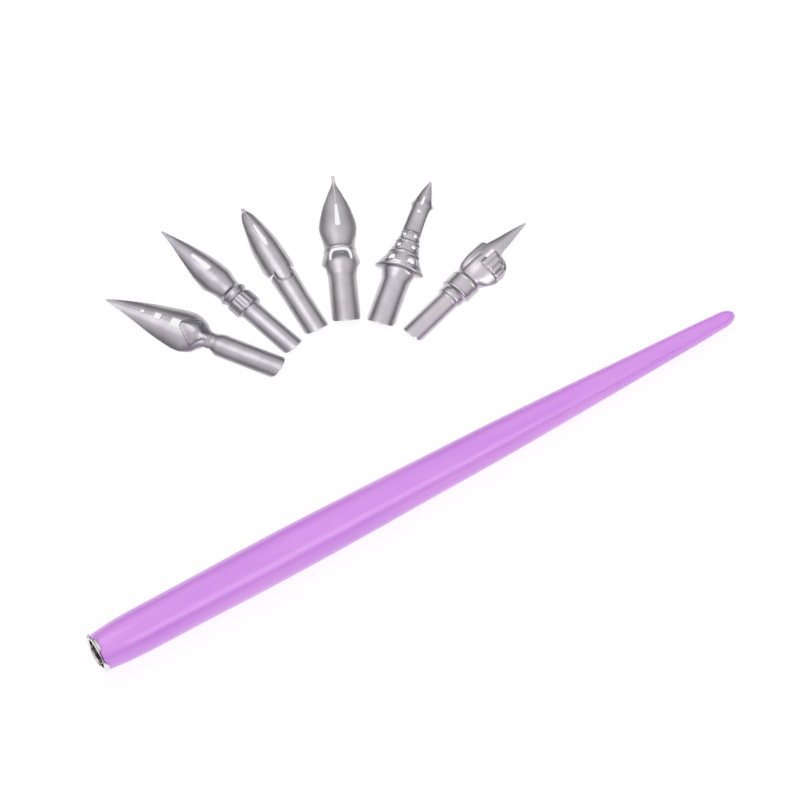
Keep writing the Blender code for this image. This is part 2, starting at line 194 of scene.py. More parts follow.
class Graph:
    """Short calls for building a material's node tree."""

    def __init__(self, name):
        self.material = bpy.data.materials.new(name)
        self.material.use_nodes = True
        self.tree = self.material.node_tree
        self.shader = self.tree.nodes["Principled BSDF"]

    def node(self, kind, **settings):
        made = self.tree.nodes.new(kind)
        for key, value in settings.items():
            setattr(made, key, value)
        return made

    def join(self, output, socket):
        self.tree.links.new(output, socket)

    def fixed(self, **values):
        for key, value in values.items():
            self.shader.inputs[key.replace("_", " ")].default_value = value

    def places(self, scale):
        """The piece's own coordinates in millimetres, scaled along each axis."""
        source = self.node("ShaderNodeTexCoord")
        mapping = self.node("ShaderNodeMapping")
        mapping.inputs["Scale"].default_value = [1000.0 * s for s in scale]
        self.join(source.outputs["Object"], mapping.inputs["Vector"])
        return mapping.outputs["Vector"]

    def noise(self, scale, size, detail=3.0, roughness=0.5):
        made = self.node("ShaderNodeTexNoise")
        made.inputs["Scale"].default_value = size
        made.inputs["Detail"].default_value = detail
        made.inputs["Roughness"].default_value = roughness
        self.join(self.places(scale), made.inputs["Vector"])
        return made.outputs["Fac"]

    def spread(self, value, low, high, new_low, new_high):
        made = self.node("ShaderNodeMapRange")
        for key, number in (("From Min", low), ("From Max", high), ("To Min", new_low), ("To Max", new_high)):
            made.inputs[key].default_value = number
        self.join(value, made.inputs["Value"])
        return made.outputs["Result"]

    def maths(self, operation, first, second):
        made = self.node("ShaderNodeMath", operation=operation)
        for socket, value in zip(made.inputs, (first, second)):
            if isinstance(value, (int, float)):
                socket.default_value = value
            else:
                self.join(value, socket)
        return made.outputs["Value"]

    def blend(self, factor, first, second):
        """Colour between two colours, or sockets, by a factor."""
        made = self.node("ShaderNodeMix", data_type="RGBA")
        self.join(factor, made.inputs["Factor"])
        for key, value in ((6, first), (7, second)):
            if isinstance(value, tuple):
                made.inputs[key].default_value = (*value, 1.0)
            else:
                self.join(value, made.inputs[key])
        return made.outputs[2]

    def attribute(self, name):
        return self.node("ShaderNodeAttribute", attribute_name=name).outputs["Fac"]

    def bump(self, height, depth_mm, strength=1.0, under=None):
        made = self.node("ShaderNodeBump")
        made.inputs["Distance"].default_value = depth_mm * MM
        made.inputs["Strength"].default_value = strength
        self.join(height, made.inputs["Height"])
        if under:
            self.join(under, made.inputs["Normal"])
        return made.outputs["Normal"]

    def out(self, key, value):
        self.join(value, self.shader.inputs[key])


def lacquer_material():
    """Satin purple lacquer: faint grain shows through, with soft waviness and fine scuffs."""
    g = Graph("satin_lacquer")
    g.fixed(Metallic=0.0, IOR=1.5, Coat_Weight=0.8, Coat_Roughness=0.17, Coat_IOR=1.5)
    cloud = g.spread(g.noise((1, 1, 0.12), 0.30, 3.0), 0.3, 0.7, 0.0, 1.0)
    grain = g.spread(g.noise((5, 5, 0.09), 1.0, 6.0, 0.6), 0.35, 0.65, 0.0, 1.0)
    main = g.blend(cloud, LACQUER_DEEP, LACQUER_LIGHT)
    depth = g.spread(grain, 0.0, 1.0, 0.0, 0.16)
    g.out("Base Color", g.blend(depth, main, LACQUER_GRAIN))
    scuff = g.noise((3, 3, 0.5), 2.2, 5.0, 0.65)
    g.out("Roughness", g.spread(scuff, 0.35, 0.7, 0.36, 0.48))
    wave = g.bump(g.noise((1, 1, 0.3), 0.22, 1.0), 0.03, 0.6)
    fine = g.bump(g.noise((1, 1, 0.6), 9.0, 3.0), 0.0022, 0.7, wave)
    g.out("Normal", fine)
    g.out("Coat Normal", wave)
    return g.material


def steel_material(name, bright, dull, rough):
    """Pressed steel: fine rolling grain, faint clouding, polished edges, and painted shade darkening the
    hollows.
    """
    g = Graph(name)
    g.fixed(Metallic=1.0)
    cloud = g.spread(g.noise((1, 1, 1), 0.28, 2.0), 0.35, 0.65, 0.0, 1.0)
    rolling = g.spread(g.noise((0.12, 1, 1), 13.0, 4.0, 0.6), 0.3, 0.7, 0.0, 1.0)
    speck = g.spread(g.noise((1, 1, 1), 30.0, 2.0), 0.66, 0.78, 0.0, 1.0)
    edge = g.attribute("edge")
    hollow_shade = g.attribute("hollow_shade")
    base = g.blend(cloud, dull, bright)
    base = g.blend(g.maths("MULTIPLY", rolling, 0.14), base, tuple(0.8 * c for c in dull))
    base = g.blend(g.maths("MULTIPLY", speck, 0.18), base, tuple(0.55 * c for c in dull))
    # Painted shade: hollows in the pressing are darkened towards a quarter of the dull colour, as if shade
    # fell in them.
    base = g.blend(g.maths("MULTIPLY", hollow_shade, 0.70), base, tuple(0.25 * c for c in dull))
    polished = tuple(min(0.9, 1.10 * c) for c in bright)
    g.out("Base Color", g.blend(g.maths("MULTIPLY", edge, 0.6), base, polished))
    worn = g.spread(rolling, 0.0, 1.0, rough - 0.03, rough + 0.05)
    g.out("Roughness", g.maths("SUBTRACT", worn, g.maths("MULTIPLY", edge, 0.06)))
    low = g.bump(g.noise((1, 1, 1), 0.6, 1.0), 0.010, 0.4)
    g.out("Normal", g.bump(rolling, 0.0009, 0.5, low))
    return g.material


def plated_material(name, colour, rough):
    """Bright plating with faint draw marks around the tube."""
    g = Graph(name)
    g.fixed(Metallic=1.0)
    marks = g.noise((0.2, 0.2, 5), 3.0, 4.0, 0.6)
    stain = g.spread(g.noise((1, 1, 1), 1.1, 4.0), 0.4, 0.75, 0.0, 0.35)
    g.out("Base Color", g.blend(stain, colour, tuple(0.62 * c for c in colour)))
    g.out("Roughness", g.spread(marks, 0.3, 0.7, rough - 0.03, rough + 0.07))
    g.out("Normal", g.bump(marks, 0.002, 0.5))
    return g.material


# ---------------------------------------------------------------- holder


def holder_matrix():
    """The holder's axis: local Z comes out of the mouth, and the belly lies on the surface."""
    slope = (BELLY_START[1] - BELLY_END[1]) / (BELLY_END[0] - BELLY_START[0])
    tilt = atan(slope * BELLY_FLAT)
    height = BELLY_FLAT * (BELLY_START[1] + slope * BELLY_START[0]) * cos(tilt)
    place = Matrix.Translation(Vector((MOUTH_X, MOUTH_Y, height)) * MM)
    return place @ Matrix.Rotation(tilt - pi / 2, 4, "Y")


def rings_mesh(name, rings, closed_loop, cap_ends):
    """Skin a list of rings of points. closed_loop joins the last ring to the first."""
    bm = bmesh.new()
    loops = [[bm.verts.new(point) for point in ring] for ring in rings]
    pairs = list(zip(loops, loops[1:]))
    if closed_loop:
        pairs.append((loops[-1], loops[0]))
    for first, second in pairs:
        count = len(first)
        for k in range(count):
            n = (k + 1) % count
            bm.faces.new((first[k], second[k], second[n], first[n]))
    if cap_ends:
        bm.faces.new(loops[0])
        bm.faces.new(list(reversed(loops[-1])))
    bmesh.ops.recalc_face_normals(bm, faces=bm.faces)
    mesh = bpy.data.meshes.new(name)
    bm.to_mesh(mesh)
    bm.free()
    return mesh


def circle(radius, height, wobble=None):
    """Ring of points in metres about the local Z axis. wobble adds to the radius by angle."""
    ring = []
    for k in range(ROUND_SIDES):
        turn = 2 * pi * k / ROUND_SIDES
        r = (radius + (wobble(turn) if wobble else 0.0)) * MM
        ring.append((r * cos(turn), r * sin(turn), height * MM))
    return ring


def shaft_radius(place):
    return track(SHAFT_FRONT + SHAFT_REAR, place)


def hand_turned(place):
    """Small unevenness of a hand-finished surface, in millimetres, at a distance from the mouth."""
    def wobble(turn):
        slow = 0.011 * sin(place / 5.3 + 1.3 * sin(turn)) * cos(turn + place / 17.0)
        quick = 0.004 * sin(place / 1.9 + 2 * turn)
        return (slow + quick) * ramp(place, 2.0, 8.0)
    return wobble


def build_shaft(matrix):
    rings = [circle(0.4, -BORE_DEPTH), circle(BORE_RADIUS - 0.2, -BORE_DEPTH),
             circle(BORE_RADIUS, -BORE_DEPTH + 0.2), circle(BORE_RADIUS, -0.12),
             circle(BORE_RADIUS + 0.06, 0.0)]
    for step in range(7):
        turn = step / 6 * pi / 2
        rings.append(circle(3.80 + 0.32 * sin(turn), -0.35 * (1 - cos(turn))))
    places = list(np.linspace(0.6, 6.0, 12)) + list(np.linspace(7.2, SHAFT_REAR[-1][0], 150))
    for place in places:
        rings.append(circle(shaft_radius(place), -place, hand_turned(place)))
    start, radius = SHAFT_REAR[-1]
    for step in range(1, 14):
        turn = step / 14 * pi / 2
        rings.append(circle(radius * cos(turn), -start - (HOLDER_LENGTH - start) * sin(turn)))
    mesh = rings_mesh("lacquered_shaft", rings, False, True)
    smooth(mesh, 50)
    piece = add_piece("lacquered_shaft", mesh, lacquer_material())
    piece.matrix_world = matrix
    settle(piece, "holder", "lacquered_wood", "holder_shaft")


def sleeve_section(turn):
    """Section of the sleeve at an angle: up the inside, over the rim, and down the outside.

    Between its four lobes the rim stops on the wood's face; at a lobe it laps over the wood's edge.
    """
    lobe = float(ramp(0.5 + 0.5 * cos(4 * turn), *LOBE_EDGE))
    lap = VALLEY_LAP + (LOBE_LAP - VALLEY_LAP) * lobe
    middle = SLEEVE_INNER + 0.14
    spine = [(middle, -SLEEVE_BACK), (middle, -0.2)]
    for bend_turn in np.linspace(0, pi / 2, 6):
        spine.append((middle + 0.26 * (1 - cos(bend_turn)), 0.06 + 0.26 * sin(bend_turn)))
    for step in range(1, LAP_STEPS + 1):
        reach = lap * step / LAP_STEPS
        out = min(reach, LAP_BEND)
        bend = max(0.0, reach - LAP_BEND)
        spine.append((SLEEVE_INNER + 0.40 + out + 0.45 * bend, 0.32 - 0.10 * out - 0.85 * bend))
    inner, outer = [], []
    for k, (r, z) in enumerate(spine):
        before, after = spine[max(0, k - 1)], spine[min(len(spine) - 1, k + 1)]
        along = Vector((after[0] - before[0], after[1] - before[1])).normalized()
        thin = 0.5 * LIP_SHEET
        inner.append((r - along.y * thin, z + along.x * thin))
        outer.append((r + along.y * thin, z - along.x * thin))
    end = spine[-1]
    before = spine[-2]
    along = Vector((end[0] - before[0], end[1] - before[1])).normalized()
    tip = (end[0] + along.x * 0.07, end[1] + along.y * 0.07)
    return inner + [tip] + outer[::-1]


def build_sleeve(matrix):
    columns = []
    for k in range(ROUND_SIDES):
        turn = 2 * pi * k / ROUND_SIDES
        columns.append([(r * cos(turn) * MM, r * sin(turn) * MM, z * MM) for r, z in sleeve_section(turn)])
    rings = list(zip(*columns))
    mesh = rings_mesh("pressed_sleeve", rings, True, False)
    smooth(mesh, 55)
    piece = add_piece("pressed_sleeve", mesh, plated_material("bright_plate", (0.86, 0.84, 0.85), 0.12))
    piece.matrix_world = matrix
    settle(piece, "holder", "plated_socket", "socket_sleeve")


def build_hub(matrix, material):
    inner = LEAF_RADIUS - LEAF_SHEET / 2
    outer = LEAF_RADIUS + LEAF_SHEET / 2
    section = [(0.5, HUB_FACE_DEPTH), (inner - 0.1, HUB_FACE_DEPTH), (inner, HUB_FACE_DEPTH - 0.1),
               (inner, HUB_RING_DEPTH + 0.05), (inner + 0.05, HUB_RING_DEPTH), (outer - 0.05, HUB_RING_DEPTH),
               (outer, HUB_RING_DEPTH + 0.05), (outer, HUB_FACE_DEPTH - 0.08), (outer + 0.08, HUB_FACE_DEPTH),
               (HUB_RADIUS - 0.08, HUB_FACE_DEPTH), (HUB_RADIUS, HUB_FACE_DEPTH + 0.08),
               (HUB_RADIUS, HUB_BACK_DEPTH - 0.08), (HUB_RADIUS - 0.08, HUB_BACK_DEPTH),
               (0.5, HUB_BACK_DEPTH)]
    mesh = rings_mesh("spring_base", [circle(r, -depth) for r, depth in section], True, False)
    smooth(mesh, 40)
    piece = add_piece("spring_base", mesh, material)
    piece.matrix_world = matrix
    settle(piece, "holder", "spring_steel", "spring_hub")


def build_leaf(index, matrix, material):
    """One leaf spring: a strip curved across, rounded at its end, leaning in at its tip."""
    turn = (index + 0.5) * 2 * pi / LEAF_COUNT
    bm = bmesh.new()
    rows = []
    middle = LEAF_RADIUS - LEAF_SHEET / 2
    for depth in np.linspace(LEAF_ROOT_DEPTH, LEAF_TIP_DEPTH, 34):
        lean = LEAF_TIP_LEAN * ramp(-depth, -LEAF_BEND_DEPTH - 1.0, -LEAF_TIP_DEPTH)
        from_tip = max(0.0, 1.2 - (depth - LEAF_TIP_DEPTH)) / 1.2
        narrow = 1 - 0.5 * (1 - (1 - from_tip ** 2) ** 0.5)
        row = []
        for step in range(-8, 9):
            across = LEAF_HALF_ANGLE * narrow * step / 8
            spot = Vector((middle * cos(across) - lean, middle * sin(across), -depth)) * MM
            row.append(bm.verts.new(Matrix.Rotation(turn, 3, "Z") @ spot))
        rows.append(row)
    for low, high in zip(rows, rows[1:]):
        for k in range(len(low) - 1):
            bm.faces.new((low[k], low[k + 1], high[k + 1], high[k]))
    name = f"leaf_strip_{index + 1}"
    mesh = bpy.data.meshes.new(name)
    bm.to_mesh(mesh)
    bm.free()
    mesh.shade_smooth()
    piece = add_piece(name, mesh, material)
    sheet = piece.modifiers.new("sheet", "SOLIDIFY")
    sheet.thickness = LEAF_SHEET * MM
    sheet.offset = 1.0
    rounding = piece.modifiers.new("rounding", "BEVEL")
    rounding.width = 0.05 * MM
    rounding.segments = 2
    rounding.limit_method = "ANGLE"
    rounding.angle_limit = radians(50)
    piece.matrix_world = matrix
    node = f"grip_leaf_{index + 1}"
    settle(piece, node, "spring_steel", node)


def build_holder():
    matrix = holder_matrix()
    spring = plated_material("bright_spring", (0.80, 0.77, 0.76), 0.16)
    build_shaft(matrix)
    build_sleeve(matrix)
    build_hub(matrix, spring)
    for index in range(LEAF_COUNT):
        build_leaf(index, matrix, spring)


# ---------------------------------------------------------------- nibs
#
# Each nib is drawn along x from its rear end (0) to its tip, and across in half-widths seen from
# above. "radius" and "crown" are the bend of the sheet across and the height of its middle line.
# "sides" are runs of the edge, "right" the other edge where it differs. "relief" is how far the
# pressing stands proud at a place along and across the flat sheet. All in millimetres.


def shank(length, half_width):
    """Edge of a shank bent to an arc, with its rear end cut round."""
    return [(x * half_width, y * half_width) for x, y in REAR_ROUND] + [(length, half_width)]


def rounded_hole(x, y, length, width, sides=20):
    """Oval hole centred on (x, y)."""
    ring = []
    for step in range(sides):
        turn = 2 * pi * (step + 0.5) / sides
        ring.append((x + length / 2 * cos(turn), y + width / 2 * sin(turn)))
    return ring


def arch_hole(x, y, length, width, sides=12):
    """Doorway with a flat foot and a round top that points to the tip."""
    half = width / 2
    ring = [(x, y - half)]
    for step in range(sides + 1):
        turn = pi * step / sides - pi / 2
        ring.append((x + length - half + half * cos(turn), y + half * sin(turn)))
    return ring + [(x, y + half)]


def mirrored(ring):
    return [(x, -y) for x, y in reversed(ring)]


def both(ring):
    return [ring, mirrored(ring)]


def spear_nib():
    length = 43.9
    vent = [(35.35, SLIT_HALF), (34.8, 0.55), (34.25, SLIT_HALF), (31.8, SLIT_HALF), (31.8, 0.8),
            (30.2, 0.8), (30.2, SLIT_HALF), (27.6, SLIT_HALF), (27.6, 1.0), (25.4, 1.0), (25.4, 0.0)]
    kite = [(18.4, 0.9), (19.5, 1.0), (20.5, 2.0), (21.4, 3.5), (25.4, 0.05)]
    ridge = [(18.4, 0.30), (21.4, 0.80), (25.4, 0.22)]

    def relief(x, across):
        half = line(kite, x)
        fold_line = 0.30 * np.sin((x - 18.4) * 0.9) * band(x, 18.6, 25.0, 0.3)
        facets = line(ridge, x) * roof(across - fold_line, half) * band(x, 18.8, 25.2, 0.25)
        border = 0.16 * hill(np.abs(across), half, 0.22) * band(x, 19.6, 25.0, 0.4)
        neck = 0.22 * hill(x, 18.4, 0.55) * hill(across, 0, 0.8)
        fold = -0.10 * band(x, 16.6, 17.6, 0.5)
        return facets + border + neck + fold

    return {
        "rest": (71.25, 42.37, 124.25),
        "radius": [(15.5, 3.07), (18.2, 2.5), (20.6, 4.65), (24.0, 6.4), (30.0, 5.3), (35.0, 4.3),
                   (40.0, 3.25), (length, 2.7)],
        "crown": [(15.5, 2.05), (18.2, 1.75), (20.6, 2.6), (24.0, 2.95), (30.0, 2.55), (35.0, 2.0),
                  (40.0, 1.35), (length, 0.75)],
        "sides": [shank(15.4, 2.84), [(17.3, 2.1), (18.4, 2.1), (19.3, 2.8), (21.0, 4.3), (24.0, 5.25),
                  (30.0, 4.2), (35.0, 2.8), (40.0, 1.3), (length, TIP_HALF)]],
        "vent": vent,
        "fine": [(18.0, 25.6)],
        "relief": relief,
    }


def fluted_collar_nib():
    length = 43.95
    flute = 1.15
    vent = [(34.0, SLIT_HALF), (33.95, 0.34), (33.8, 0.42), (30.5, 0.62), (28.8, 0.74), (28.4, 0.66),
            (28.1, 0.4), (28.0, 0.0)]

    def relief(x, across):
        wave = np.abs(np.cos(pi * across / flute)) ** 0.7
        flutes = (0.24 * wave - 0.15) * band(x, 15.6, 18.2, 0.55)
        ring = 0.12 * hill(x, 20.4, 0.45)
        return flutes + ring

    return {
        "rest": (76.50, 45.15, 103.4),
        "radius": [(14.6, 2.68), (15.3, 3.5), (18.6, 3.5), (19.2, 3.0), (20.4, 3.5), (21.6, 3.1),
                   (26.0, 4.15), (30.0, 4.0), (35.0, 3.2), (40.0, 2.3), (length, 1.9)],
        "crown": [(14.6, 1.85), (15.3, 2.6), (18.6, 2.6), (19.2, 2.15), (20.4, 2.65), (21.6, 2.2),
                  (26.0, 2.75), (30.0, 2.6), (35.0, 2.05), (40.0, 1.3), (length, 0.65)],
        "sides": [shank(14.6, 2.48), [(15.3, 3.28), (18.6, 3.28), (19.2, 2.8), (20.4, 3.3), (21.6, 2.9),
                  (26.0, 3.8)], [(30.0, 3.42), (35.0, 2.25), (40.0, 0.98), (length, TIP_HALF)]],
        "vent": vent,
        "fine": [(14.4, 21.8)],
        "relief": relief,
    }


def tubular_nib():
    length = 37.0
    vent = [(31.5, SLIT_HALF), (31.45, 0.2), (31.2, 0.26), (28.0, 0.42), (26.5, 0.55), (25.2, 0.3),
            (24.6, 0.0)]

    def relief(x, across):
        reach = ((across / 1.85) ** 4 + ((18.6 - x) / 3.3) ** 4) ** 0.25
        inside = 1 - ramp(reach, 0.94, 1.02)
        fade = 1 - ramp(x, 17.7, 18.6)
        groove = -0.13 * hill(reach, 1.0, 0.06)
        return 0.13 * inside * fade + 0.13 * (1 - fade) + groove * fade

    return {
        "rest": (83.10, 46.12, 87.35),
        "radius": [(12.0, 3.05), (17.0, 3.15), (20.0, 3.6), (25.0, 3.5), (30.0, 2.9), (33.0, 2.4),
                   (35.2, 1.95), (length, 1.6)],
        "crown": [(12.0, 2.05), (17.0, 2.3), (20.0, 2.6), (25.0, 2.65), (30.0, 2.4), (33.0, 2.0),
                  (35.2, 1.55), (36.3, 1.2), (length, 1.25)],
        "sides": [shank(12.0, 2.83), [(17.3, 3.0), (17.7, 2.15)], [(17.94, 2.15), (18.14, 3.08)],
                  [(20.0, 3.4), (25.0, 3.22), (30.0, 2.38), (33.0, 1.73), (35.2, 1.03), (36.2, 0.45),
                   (length, 0.32)]],
        "vent": vent,
        "fine": [(14.8, 18.8)],
        "relief": relief,
        "bead": (36.6, 0.42, 0.16),
    }


def spade_nib():
    length = 39.2
    gap = [(16.2, 2.2), (16.2, 2.75), (17.6, 2.8), (18.3, 2.75), (18.9, 2.4), (19.3, 1.9), (19.3, -1.9),
           (18.9, -2.4), (18.3, -2.75), (17.6, -2.8), (16.2, -2.75), (16.2, -2.2), (18.1, -2.2), (18.6, -2.0),
           (18.8, -1.6), (18.8, 1.6), (18.6, 2.0), (18.1, 2.2)]

    def relief(x, across):
        tongue = band(np.abs(across), -1, 2.15, 0.25) * ramp(x, 15.6, 16.4) * (1 - ramp(x, 18.8, 18.9))
        dip = -0.55 * tongue * ramp(x, 16.0, 18.9)
        lip = 0.16 * hill(x, 19.7, 0.3)
        return dip + lip

    return {
        "rest": (89.35, 44.56, 63.4),
        "radius": [(13.0, 3.4), (16.0, 4.7), (19.8, 3.7), (25.5, 5.6), (30.0, 5.0), (34.0, 3.8),
                   (38.2, 2.2), (length, 2.2)],
        "crown": [(13.0, 2.2), (16.0, 2.75), (19.8, 2.5), (25.5, 2.6), (30.0, 2.35), (34.0, 1.9),
                  (38.2, 1.15), (length, 1.4)],
        "sides": [shank(13.0, 3.14), [(14.6, 3.45), (16.0, 4.25)], [(18.0, 3.95), (20.2, 3.4), (25.5, 4.2),
                  (30.0, 3.25), (34.0, 1.65), (38.2, 0.32), (length, 0.34)]],
        "vent": [(31.1, SLIT_HALF), (31.05, 0.2), (30.8, 0.29), (25.6, 0.6), (25.3, 0.48), (25.1, 0.3),
                 (25.0, 0.0)],
        "holes": [gap],
        "fine": [(15.0, 20.4)],
        "relief": relief,
        "bead": (38.9, 0.45, 0.24),
    }


def tower_nib():
    length = 40.4
    windows = both(arch_hole(16.8, 2.2, 1.4, 1.6)) + both(rounded_hole(21.1, 1.6, 0.9, 1.05))
    windows += both(rounded_hole(24.0, 1.15, 0.85, 0.8)) + [rounded_hole(31.0, 0.0, 0.8, 0.9)]

    def relief(x, across):
        bands = sum(0.17 * band(x, place - 0.07, place + 0.07, 0.14) for place in (19.4, 22.4, 25.0))
        foot = 0.20 * band(x, 15.5, 15.9, 0.16)
        half = line([(15.0, 5.2), (19.2, 3.6), (25.0, 2.3), (33.0, 2.2)], x)
        gable = 0.42 * roof(across, half) * band(x, 16.5, 24.6, 0.9)
        frame_edge = 0.0
        for place, out, size in ((17.4, 2.2, 1.15), (21.1, 1.6, 0.85), (24.0, 1.15, 0.7)):
            reach = np.hypot(x - place, np.abs(across) - out)
            frame_edge += 0.13 * hill(reach, size, 0.2)
        return bands + foot + gable + frame_edge + 0.10 * hill(x, 33.6, 0.6)

    return {
        "rest": (95.12, 40.39, 41.2),
        "radius": [(12.8, 3.45), (14.8, 4.6), (15.25, 6.9), (16.7, 6.4), (19.2, 4.8), (22.2, 3.8),
                   (25.0, 3.3), (31.0, 2.9), (35.0, 2.8), (length, 2.4)],
        "crown": [(12.8, 2.25), (15.0, 2.6), (15.7, 3.1), (19.2, 2.85), (25.0, 2.6), (31.0, 2.3),
                  (35.0, 1.8), (length, 0.8)],
        "sides": [shank(12.8, 3.2), [(14.8, 3.75), (15.3, 5.4)], [(16.1, 5.5), (16.7, 4.85), (19.2, 3.55),
                  (22.2, 2.7), (25.0, 2.15), (31.0, 2.0), (33.0, 2.25)], [(33.6, 2.5), (34.3, 2.0),
                  (37.5, 1.07), (length, TIP_HALF)]],
        "vent": [(35.7, SLIT_HALF), (35.6, 0.18), (35.3, 0.24), (33.6, 0.34), (33.2, 0.24), (33.0, 0.0)],
        "holes": windows,
        "fine": [(14.2, 25.8)],
        "relief": relief,
    }


def hand_nib():
    length = 40.2
    fingers = (0.2, 1.7, 3.1, 4.4, 5.7)

    def relief(x, across):
        curl = 0.0
        for low, high in zip(fingers, fingers[1:]):
            middle = (low + high) / 2
            tip_end = 28.9 - 0.16 * middle ** 1.5
            hump = dome(-across - middle, 0.52 * (high - low))
            curl = np.maximum(curl, 0.42 * hump * band(x, 24.6, tip_end - 0.3, 0.5))
        cuff_rim = 0.10 * (hill(x, 15.9, 0.2) + hill(x, 19.3, 0.2))
        thumb = 0.20 * hill(across, 3.4, 0.7) * band(x, 22.0, 28.8, 1.5)
        crease = -0.14 * hill(across, 2.2 - 0.10 * (x - 20.0), 0.28) * band(x, 21.6, 26.0, 1.0)
        return curl + cuff_rim + thumb + crease

    return {
        "rest": (99.50, 34.56, 16.75),
        "radius": [(13.2, 2.75), (13.9, 3.25), (14.8, 3.25), (15.2, 2.95), (15.8, 3.85), (19.5, 3.85),
                   (20.2, 3.3), (21.2, 4.9), (22.2, 5.9), (25.0, 6.6), (29.0, 6.0), (34.0, 3.2),
                   (length, 2.2)],
        "crown": [(13.2, 1.9), (13.9, 2.4), (14.8, 2.4), (15.2, 2.1), (15.8, 2.85), (19.5, 2.85),
                  (20.2, 2.5), (25.0, 3.0), (29.0, 2.75), (34.0, 1.85), (length, 0.7)],
        "sides": [shank(13.2, 2.55), [(13.9, 3.0), (14.8, 3.0), (15.2, 2.75), (15.8, 3.6), (19.5, 3.6)],
                  [(20.4, 3.1), (25.0, 3.85), (29.4, 3.95)], [(29.5, 2.4), (34.0, 1.55), (length, TIP_HALF)]],
        "right": [shank(13.2, 2.55), [(13.9, 3.0), (14.8, 3.0), (15.2, 2.75), (15.8, 3.6), (19.5, 3.6)],
                  [(20.2, 3.15), (22.0, 4.5), (24.0, 5.3), (26.0, 5.4)],
                  [(27.2, 5.0), (28.2, 4.5), (28.9, 3.3), (29.1, 2.2)],
                  [(29.6, 1.9), (34.0, 1.2), (length, TIP_HALF)]],
        "vent": [(29.0, SLIT_HALF), (29.0, 0.42), (26.3, 0.42), (26.3, 0.0)],
        "fine": [(13.0, 20.6), (24.0, 29.6)],
        "relief": relief,
    }


def developed(nib, x, half_width):
    """Width along the bent sheet for a half-width seen from above."""
    radius = track(nib["radius"], x)
    return radius * asin(min(1.0, half_width / radius))


def edge_points(nib, runs):
    """The edge of the flat blank from rear to tip, with smooth runs and sharp joins between them."""
    points = []
    for run in runs:
        steps = max(1, round((run[-1][0] - run[0][0]) / EDGE_STEP))
        places = sorted({x for x, _ in run} | set(np.linspace(run[0][0], run[-1][0], steps + 1)))
        for x in places:
            points.append((x, developed(nib, x, track(run, x))))
    kept = [points[0]]
    for point in points[1:]:
        if (Vector(point) - Vector(kept[-1])).length > 0.10:
            kept.append(point)
    kept[-1] = points[-1]
    return kept


def blank_outline(nib):
    """Closed outline of the flat blank: up one side, down the slit and vent, and back."""
    left = edge_points(nib, nib["sides"])
    right = edge_points(nib, nib.get("right", nib["sides"]))
    slit = [(left[-1][0], SLIT_HALF)] + nib["vent"]
    return left + slit + mirrored(slit)[1:] + mirrored(right)


def blank_mesh(name, rings):
    """Flat sheet in millimetres with rounded edges, its outline and holes filled as a 2D curve."""
    curve = bpy.data.curves.new(name, "CURVE")
    curve.dimensions = "2D"
    curve.fill_mode = "BOTH"
    curve.extrude = NIB_SHEET / 2 - EDGE_ROUND
    curve.bevel_depth = EDGE_ROUND
    curve.bevel_resolution = 1
    curve.offset = -EDGE_ROUND
    for ring in rings:
        spline = curve.splines.new("POLY")
        spline.points.add(len(ring) - 1)
        for point, (x, y) in zip(spline.points, ring):
            point.co = (x, y, 0, 1)
        spline.use_cyclic_u = True
    flat = bpy.data.objects.new(f"{name}_blank", curve)
    bpy.context.scene.collection.objects.link(flat)
    graph = bpy.context.evaluated_depsgraph_get()
    mesh = bpy.data.meshes.new_from_object(flat.evaluated_get(graph))
    bpy.data.objects.remove(flat)
    mesh.name = name
    return mesh


def cut_lines(bm, faces, axis, places):
    """Cut faces square to an axis at each place: at the middle one, then each half on its own."""
    if not len(places) or not faces:
        return
    middle = len(places) // 2
    normal = Vector((1, 0, 0)) if axis == 0 else Vector((0, 1, 0))
    edges = {edge for face in faces for edge in face.edges}
    verts = {vert for face in faces for vert in face.verts}
    cut = bmesh.ops.bisect_plane(bm, geom=[*verts, *edges, *faces], dist=MERGE, plane_no=normal,
                                 plane_co=normal * places[middle])
    low, high = [], []
    for face in cut["geom"]:
        if isinstance(face, bmesh.types.BMFace):
            (high if face.calc_center_bounds()[axis] > places[middle] else low).append(face)
    cut_lines(bm, low, axis, places[:middle])
    cut_lines(bm, high, axis, places[middle + 1:])


def drop_diagonals(bm, x_lines, y_lines):
    """Dissolve the fill's own edges, so that only the grid is left inside the sheet."""
    bm.normal_update()

    def on_a_line(edge):
        a, b = (vert.co for vert in edge.verts)
        along_x = abs(a.x - b.x) < MERGE and min(abs(x_lines - a.x)) < 2 * MERGE
        along_y = abs(a.y - b.y) < MERGE and min(abs(y_lines - a.y)) < 2 * MERGE
        return along_x or along_y

    def inside_a_face(edge):
        if len(edge.link_faces) != 2:
            return False
        first, second = edge.link_faces
        return abs(first.normal.z) > 0.99 and first.normal.dot(second.normal) > 0.99

    diagonals = [edge for edge in bm.edges if inside_a_face(edge) and not on_a_line(edge)]
    bmesh.ops.dissolve_edges(bm, edges=diagonals, use_verts=True)


def rim_distance(bm):
    """How far each vertex of the flat sheet is from the sheet's edges, in millimetres."""
    rim = []
    for edge in bm.edges:
        flat = [abs(face.normal.z) > 0.99 for face in edge.link_faces]
        if any(flat) and not all(flat):
            start, end = (vert.co for vert in edge.verts)
            steps = max(1, round((end - start).length / RIM_STEP))
            rim += [start.lerp(end, step / steps) for step in range(steps)]
    tree = KDTree(len(rim))
    for index, spot in enumerate(rim):
        tree.insert((spot.x, spot.y, 0), index)
    tree.balance()
    return np.array([tree.find((vert.co.x, vert.co.y, 0))[2] for vert in bm.verts])


